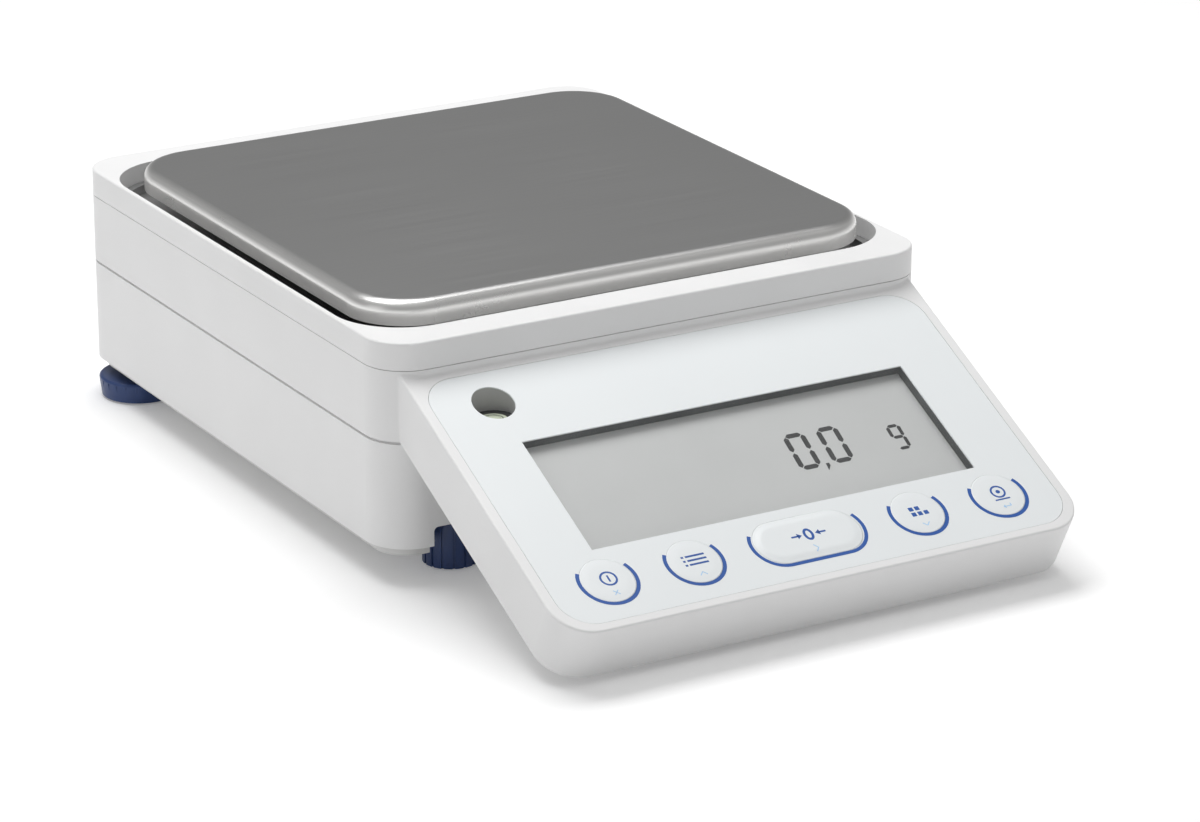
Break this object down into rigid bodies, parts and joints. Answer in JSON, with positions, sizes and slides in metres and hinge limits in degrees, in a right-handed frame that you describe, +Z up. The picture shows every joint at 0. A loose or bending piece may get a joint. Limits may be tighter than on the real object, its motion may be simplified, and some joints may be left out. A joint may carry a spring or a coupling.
{
  "type": "precision balance",
  "caption": "Bench precision balance with a square steel weighing pan, a sloping display console with keys, levelling feet and a load cell inside.",
  "frame": {"origin": "on the table, under the middle of the balance's whole outline", "axes": "+X to the right as seen by the user at the console, +Y from the console to the back, +Z up"},
  "size_m": [0.2206, 0.3508, 0.0932],
  "materials": {
    "white_housing": "fine satin texture",
    "pan_steel": "brushed",
    "cast_aluminium": "cast",
    "grey_paint": "smooth semi-gloss paint over the casting",
    "cell_aluminium": "milled",
    "foil": "matt film",
    "clear_window": "clear",
    "lcd": "matt polariser",
    "white_reflector": "diffusing",
    "black_plastic": "satin",
    "grey_plastic": "matt",
    "vial": "clear liquid",
    "circuit_film": "printed film",
    "board": "solder resist",
    "gauge_film": "printed film",
    "bright_steel": "plated",
    "brass": "turned",
    "blue_plastic": "satin",
    "black_rubber": "matt"
  },
  "bodies": {
    "base": {"backlight": "white_reflector", "base_plate": "grey_paint", "board_screws": "bright_steel", "board_standoffs": "bright_steel", "console_cover": "white_housing", "console_cover_screws": "bright_steel", "control_foil": "foil", "display_board": "board", "display_frame": "black_plastic", "display_window": "clear_window", "drip_tray": "pan_steel", "foot_bushes": "brass", "hook_cover_screw": "bright_steel", "housing_screws": "bright_steel", "inlet_pin": "bright_steel", "keypad_circuit": "circuit_film", "keypad_spacer": "circuit_film", "lcd_glass": "lcd", "level_cup": "grey_plastic", "level_ring": "black_plastic", "level_vial": "vial", "load_cell": "cell_aluminium", "load_cell_screws": "bright_steel", "load_cell_spacer": "cell_aluminium", "lower_housing": "white_housing", "main_board": "board", "overload_stops": "bright_steel", "power_inlet": "black_plastic", "serial_block": "black_plastic", "serial_posts": "bright_steel", "serial_shell": "bright_steel", "snap_domes": "bright_steel", "strain_gauges": "gauge_film", "top_frame": "white_housing", "top_frame_screws": "bright_steel", "upper_housing": "white_housing"},
    "pan": {"weighing_pan": "pan_steel"},
    "pan_support": {"pan_carrier": "cast_aluminium", "pan_buffers": "black_rubber", "carrier_post": "cast_aluminium", "carrier_screws": "bright_steel", "hook_bolt": "bright_steel"},
    "hook_flap": {"hook_cover": "bright_steel"},
    "power_button": {"power_key": "foil"},
    "mode_button": {"mode_key": "foil"},
    "tare_button": {"tare_key": "foil"},
    "reference_button": {"reference_key": "foil"},
    "print_button": {"print_key": "foil"},
    "front_left_foot": {"front_left_pad": "black_rubber"},
    "front_left_screw": {"front_left_knob": "blue_plastic", "front_left_stud": "bright_steel"},
    "front_right_foot": {"front_right_pad": "black_rubber"},
    "front_right_screw": {"front_right_knob": "blue_plastic", "front_right_stud": "bright_steel"},
    "rear_left_foot": {"rear_left_pad": "black_rubber"},
    "rear_left_screw": {"rear_left_knob": "blue_plastic", "rear_left_stud": "bright_steel"},
    "rear_right_foot": {"rear_right_pad": "black_rubber"},
    "rear_right_screw": {"rear_right_knob": "blue_plastic", "rear_right_stud": "bright_steel"}
  },
  "joints": [
    {"name": "load_travel", "type": "slide", "parent": "base", "child": "pan_support", "axis": [0, 0, 1], "range_m": [-0.0003, 0], "stiffness_N_per_m": 30000, "springref_m": 0.0003},
    {"name": "pan_lift", "type": "slide", "parent": "pan_support", "child": "pan", "axis": [0, 0, 1], "range_m": [0, 0.03]},
    {"name": "hook_flap_turn", "type": "hinge", "parent": "base", "child": "hook_flap", "pos_m": [0.018, 0.00161, 0.0093], "axis": [0, 0, 1], "range_deg": [0, 180]},
    {"name": "power_press", "type": "slide", "parent": "base", "child": "power_button", "axis": [0, 0.4384, -0.8988], "range_m": [0, 0.00035], "stiffness_N_per_m": 4000, "springref_m": -0.0002},
    {"name": "mode_press", "type": "slide", "parent": "base", "child": "mode_button", "axis": [0, 0.4384, -0.8988], "range_m": [0, 0.00035], "stiffness_N_per_m": 4000, "springref_m": -0.0002},
    {"name": "tare_press", "type": "slide", "parent": "base", "child": "tare_button", "axis": [0, 0.4384, -0.8988], "range_m": [0, 0.00035], "stiffness_N_per_m": 4000, "springref_m": -0.0002},
    {"name": "reference_press", "type": "slide", "parent": "base", "child": "reference_button", "axis": [0, 0.4384, -0.8988], "range_m": [0, 0.00035], "stiffness_N_per_m": 4000, "springref_m": -0.0002},
    {"name": "print_press", "type": "slide", "parent": "base", "child": "print_button", "axis": [0, 0.4384, -0.8988], "range_m": [0, 0.00035], "stiffness_N_per_m": 4000, "springref_m": -0.0002},
    {"name": "front_left_reach", "type": "slide", "parent": "base", "child": "front_left_foot", "axis": [0, 0, -1], "range_m": [-0.0015, 0.0045]},
    {"name": "front_left_turn", "type": "hinge", "parent": "front_left_foot", "child": "front_left_screw", "pos_m": [-0.0753, -0.05189, 0], "axis": [0, 0, 1], "range_deg": [-541, 1621]},
    {"name": "front_right_reach", "type": "slide", "parent": "base", "child": "front_right_foot", "axis": [0, 0, -1], "range_m": [-0.0015, 0.0045]},
    {"name": "front_right_turn", "type": "hinge", "parent": "front_right_foot", "child": "front_right_screw", "pos_m": [0.0753, -0.05189, 0], "axis": [0, 0, 1], "range_deg": [-541, 1621]},
    {"name": "rear_left_reach", "type": "slide", "parent": "base", "child": "rear_left_foot", "axis": [0, 0, -1], "range_m": [-0.0015, 0.0045]},
    {"name": "rear_left_turn", "type": "hinge", "parent": "rear_left_foot", "child": "rear_left_screw", "pos_m": [-0.095, 0.15421, 0], "axis": [0, 0, 1], "range_deg": [-541, 1621]},
    {"name": "rear_right_reach", "type": "slide", "parent": "base", "child": "rear_right_foot", "axis": [0, 0, -1], "range_m": [-0.0015, 0.0045]},
    {"name": "rear_right_turn", "type": "hinge", "parent": "rear_right_foot", "child": "rear_right_screw", "pos_m": [0.095, 0.15421, 0], "axis": [0, 0, 1], "range_deg": [-541, 1621]}
  ],
  "couplings": [
    {"joint": "front_left_turn", "follows": "front_left_reach", "rad_per_m": 6283.2},
    {"joint": "front_right_turn", "follows": "front_right_reach", "rad_per_m": 6283.2},
    {"joint": "rear_left_turn", "follows": "rear_left_reach", "rad_per_m": 6283.2},
    {"joint": "rear_right_turn", "follows": "rear_right_reach", "rad_per_m": 6283.2}
  ]
}
